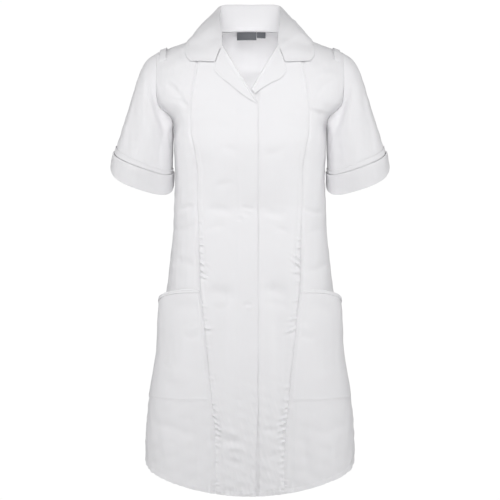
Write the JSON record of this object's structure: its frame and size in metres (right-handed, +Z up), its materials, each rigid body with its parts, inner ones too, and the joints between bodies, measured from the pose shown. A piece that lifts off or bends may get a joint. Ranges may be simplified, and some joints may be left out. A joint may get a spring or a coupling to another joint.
{
  "type": "medical tunic",
  "caption": "Knee-length short-sleeved medical tunic with a revere collar, princess seams, patch pockets, turned-back cuffs and side vents, in its worn, hollow form.",
  "frame": {"origin": "middle of the neck opening, level with the points where the shoulder seams meet the neck, where the wearer's shoulders hold the tunic up", "axes": "+Z up along the wearer's spine, the front faces -Y, +X points to the wearer's left"},
  "size_m": [0.5748, 0.2763, 0.9951],
  "materials": {
    "white_twill": "matt bleached-white polyester and cotton twill, pressed, with tone-on-tone topstitching",
    "label_tape": "soft grey woven label tape with a slight satin sheen, bare"
  },
  "bodies": {
    "root": {"front_right": "white_twill", "side_front_right": "white_twill", "sleeve_right": "white_twill", "cuff_right": "white_twill", "cuff_trim_right": "white_twill", "lapel_right": "white_twill", "pocket_right": "white_twill", "pocket_trim_right": "white_twill", "shoulder_loop_right": "white_twill", "front_left": "white_twill", "side_front_left": "white_twill", "sleeve_left": "white_twill", "cuff_left": "white_twill", "cuff_trim_left": "white_twill", "lapel_left": "white_twill", "pocket_left": "white_twill", "pocket_trim_left": "white_twill", "shoulder_loop_left": "white_twill", "back": "white_twill", "collar": "white_twill", "neck_label": "label_tape", "size_tab": "label_tape"}
  },
  "joints": []
}
